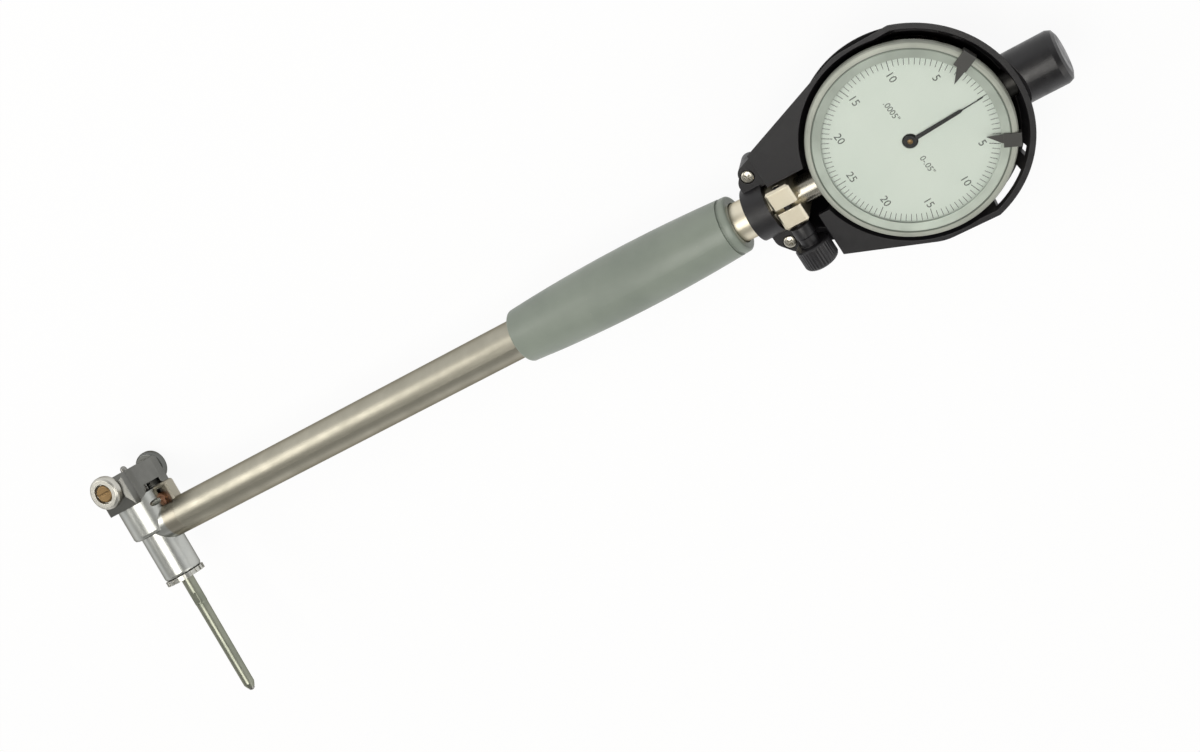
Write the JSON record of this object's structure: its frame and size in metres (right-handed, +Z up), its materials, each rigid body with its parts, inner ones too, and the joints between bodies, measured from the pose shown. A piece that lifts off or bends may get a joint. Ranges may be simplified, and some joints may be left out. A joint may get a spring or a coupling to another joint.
{
  "type": "dial bore gauge",
  "caption": "Two-point bore gauge: sprung roller bridge, sliding contact and fixed rod on a long tube, barrel grip and a guarded dial indicator",
  "frame": {"origin": "on the dial axis, on the flat back of the guard", "axes": "X runs along the tube from the head to the dial, Z up out of the dial face, Y to the side of the sliding contact"},
  "size_m": [0.3494, 0.0954, 0.0415],
  "materials": {
    "chrome_steel": "bright chrome plate",
    "satin_steel": "satin chrome",
    "bridge_steel": "ground steel",
    "dark_steel": "blackened steel",
    "carbide": "polished hard metal",
    "brass": "plain brass",
    "nickel": "nickel plate",
    "grip_paint": "satin paint",
    "black_plastic": "satin moulding",
    "guide_plastic": "plain nylon",
    "bezel_metal": "satin",
    "crystal": "clear",
    "dial_white": "matt white",
    "hand_black": "matt black",
    "marker_grey": "satin"
  },
  "bodies": {
    "frame": {"head_body": "chrome_steel", "plunger_bush": "brass", "guide_screws": "bridge_steel", "crank_pin": "bridge_steel", "measuring_rod": "satin_steel", "measuring_rod_tip": "carbide", "lock_nut": "chrome_steel", "tube": "satin_steel", "grip": "grip_paint", "rod_guide_upper": "guide_plastic", "rod_guide_middle": "guide_plastic", "stem_clamp": "nickel", "case": "bridge_steel", "case_back": "bridge_steel", "back_screws": "bridge_steel", "stem": "satin_steel", "spindle_bush": "satin_steel", "movement_plate_front": "brass", "movement_plate_back": "brass", "movement_pillars": "brass", "hairspring": "dark_steel", "guard_front": "black_plastic", "guard_back": "black_plastic", "guard_screws": "bridge_steel", "spindle_cap": "black_plastic", "bridge_spring_near": "dark_steel", "bridge_spring_far": "dark_steel", "push_rod_spring": "dark_steel"},
    "bridge_slide_body": {"bridge": "bridge_steel", "roller_screw_near": "brass", "roller_screw_far": "brass"},
    "near_roller_body": {"roller_near": "bridge_steel"},
    "far_roller_body": {"roller_far": "bridge_steel"},
    "plunger_body": {"plunger": "bridge_steel", "plunger_tip": "carbide"},
    "crank_body": {"bell_crank": "dark_steel"},
    "push_rod_body": {"push_rod": "bridge_steel"},
    "spindle_body": {"spindle": "bridge_steel", "contact_point": "bridge_steel"},
    "rack_arbor_body": {"rack_arbor": "brass"},
    "take_up_body": {"take_up_arbor": "brass"},
    "hand_body": {"centre_arbor": "brass", "hand": "hand_black"},
    "bezel_body": {"bezel": "bezel_metal", "crystal": "crystal", "dial_face": "dial_white"},
    "marker_left_body": {"marker_left": "marker_grey"},
    "marker_right_body": {"marker_right": "marker_grey"},
    "knob_body": {"clamp_knob": "black_plastic"}
  },
  "joints": [
    {"name": "push_rod_slide", "type": "slide", "parent": "frame", "child": "push_rod_body", "axis": [1, 0, 0], "range_m": [0, 0.0016], "stiffness_N_per_m": 1500, "springref_m": -0.0015, "deforming": ["push_rod_spring"]},
    {"name": "plunger_slide", "type": "slide", "parent": "frame", "child": "plunger_body", "axis": [0, -0.9593, 0.2823], "range_m": [0, 0.0016]},
    {"name": "crank_turn", "type": "hinge", "parent": "frame", "child": "crank_body", "pos_m": [-0.2872, 0.00767, 0.01934], "axis": [0, 0.2823, 0.9593], "range_deg": [0, 11.51]},
    {"name": "spindle_slide", "type": "slide", "parent": "frame", "child": "spindle_body", "axis": [1, 0, 0], "range_m": [0, 0.0016]},
    {"name": "rack_arbor_turn", "type": "hinge", "parent": "frame", "child": "rack_arbor_body", "pos_m": [-0.00813, 0.00292, 0.0216], "axis": [0, 0, 1], "range_deg": [0, 56.89]},
    {"name": "take_up_turn", "type": "hinge", "parent": "frame", "child": "take_up_body", "pos_m": [0.00813, -0.00292, 0.0216], "axis": [0, 0, 1], "range_deg": [0, 56.89]},
    {"name": "hand_turn", "type": "hinge", "parent": "frame", "child": "hand_body", "pos_m": [0, 0, 0.0216], "axis": [0, 0, 1], "range_deg": [-454.04, 0]},
    {"name": "bridge_slide", "type": "slide", "parent": "frame", "child": "bridge_slide_body", "axis": [0, -0.9593, 0.2823], "range_m": [0, 0.0016], "stiffness_N_per_m": 500, "springref_m": -0.004, "deforming": ["bridge_spring_near", "bridge_spring_far"]},
    {"name": "near_roller_spin", "type": "hinge", "parent": "bridge_slide_body", "child": "near_roller_body", "pos_m": [-0.2952, 0.02201, 0.02909], "axis": [0, 0.2823, 0.9593], "continuous": true},
    {"name": "far_roller_spin", "type": "hinge", "parent": "bridge_slide_body", "child": "far_roller_body", "pos_m": [-0.2952, 0.01444, 0.00338], "axis": [0, 0.2823, 0.9593], "continuous": true},
    {"name": "bezel_turn", "type": "hinge", "parent": "frame", "child": "bezel_body", "pos_m": [0, 0, 0.027], "axis": [0, 0, 1], "continuous": true},
    {"name": "marker_left_turn", "type": "hinge", "parent": "bezel_body", "child": "marker_left_body", "pos_m": [0, 0, 0.0285], "axis": [0, 0, 1], "range_deg": [-18, 120]},
    {"name": "marker_right_turn", "type": "hinge", "parent": "bezel_body", "child": "marker_right_body", "pos_m": [0, 0, 0.0285], "axis": [0, 0, 1], "range_deg": [-120, 16]},
    {"name": "clamp_knob_turn", "type": "hinge", "parent": "frame", "child": "knob_body", "pos_m": [-0.0388, -0.016, 0.0274], "axis": [0, -1, 0], "range_deg": [0, 180]}
  ],
  "couplings": [
    {"joint": "plunger_slide", "follows": "push_rod_slide", "ratio": 1},
    {"joint": "crank_turn", "follows": "push_rod_slide", "rad_per_m": 125},
    {"joint": "spindle_slide", "follows": "push_rod_slide", "ratio": 1},
    {"joint": "rack_arbor_turn", "follows": "push_rod_slide", "rad_per_m": 618.42},
    {"joint": "take_up_turn", "follows": "push_rod_slide", "rad_per_m": 618.42},
    {"joint": "hand_turn", "follows": "push_rod_slide", "rad_per_m": -4947.4}
  ]
}
